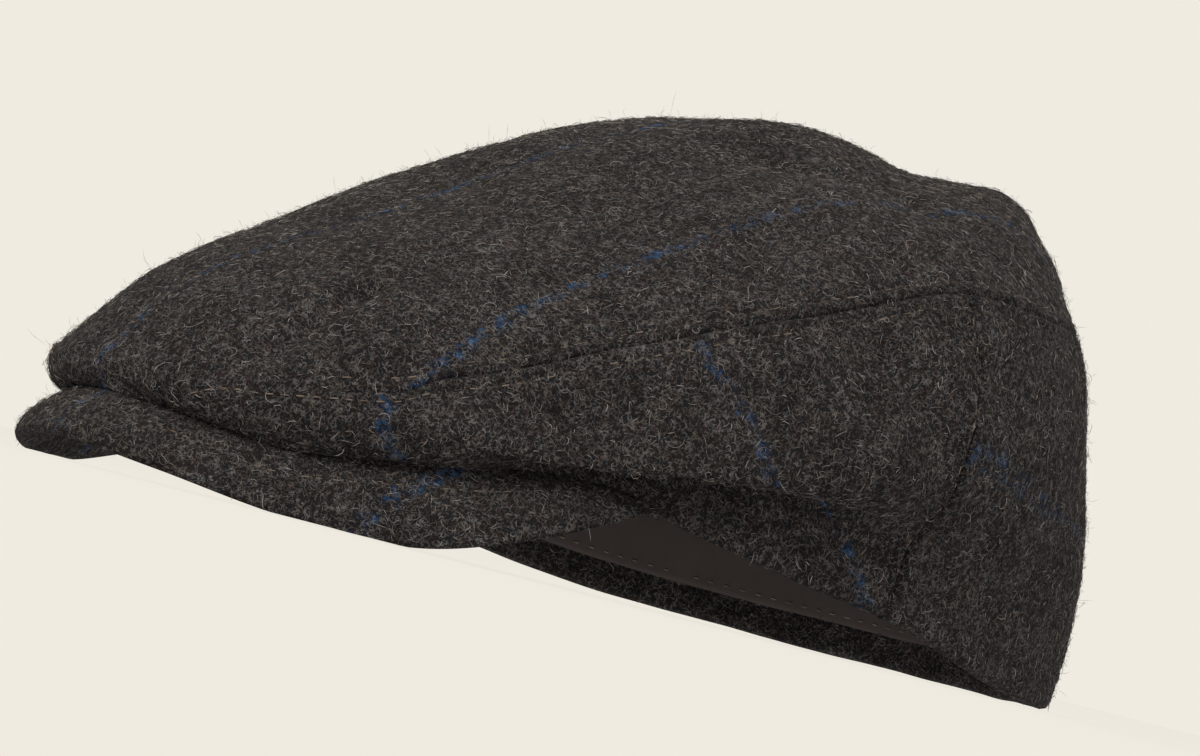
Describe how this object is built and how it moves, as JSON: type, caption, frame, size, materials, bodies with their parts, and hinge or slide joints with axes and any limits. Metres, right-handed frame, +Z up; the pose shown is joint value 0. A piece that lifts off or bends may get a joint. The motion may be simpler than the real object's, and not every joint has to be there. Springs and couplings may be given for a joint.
{
  "type": "flat cap",
  "caption": "Soft flat cap in dark flecked wool twill with faint blue stripes, a stitched peak under the overhanging crown and a smooth sweatband in the open head hollow.",
  "frame": {"origin": "centre of the cap's footprint, on the surface that it rests on", "axes": "+Z up, -Y towards the front of the peak, +X towards the wearer's left"},
  "size_m": [0.1957, 0.266, 0.1122],
  "materials": {
    "wool_twill": "woven twill of mixed dark brown, grey and pale wool, brushed so that short curly hairs stand up, matt",
    "sweatband_cotton": "smooth close-woven brown cotton, folded along both edges, slightly satin"
  },
  "bodies": {
    "root": {"top_panel": "wool_twill", "side_panel_left": "wool_twill", "side_panel_right": "wool_twill", "back_panel": "wool_twill", "peak_upper": "wool_twill", "peak_under": "wool_twill", "sweatband": "sweatband_cotton"}
  },
  "joints": []
}
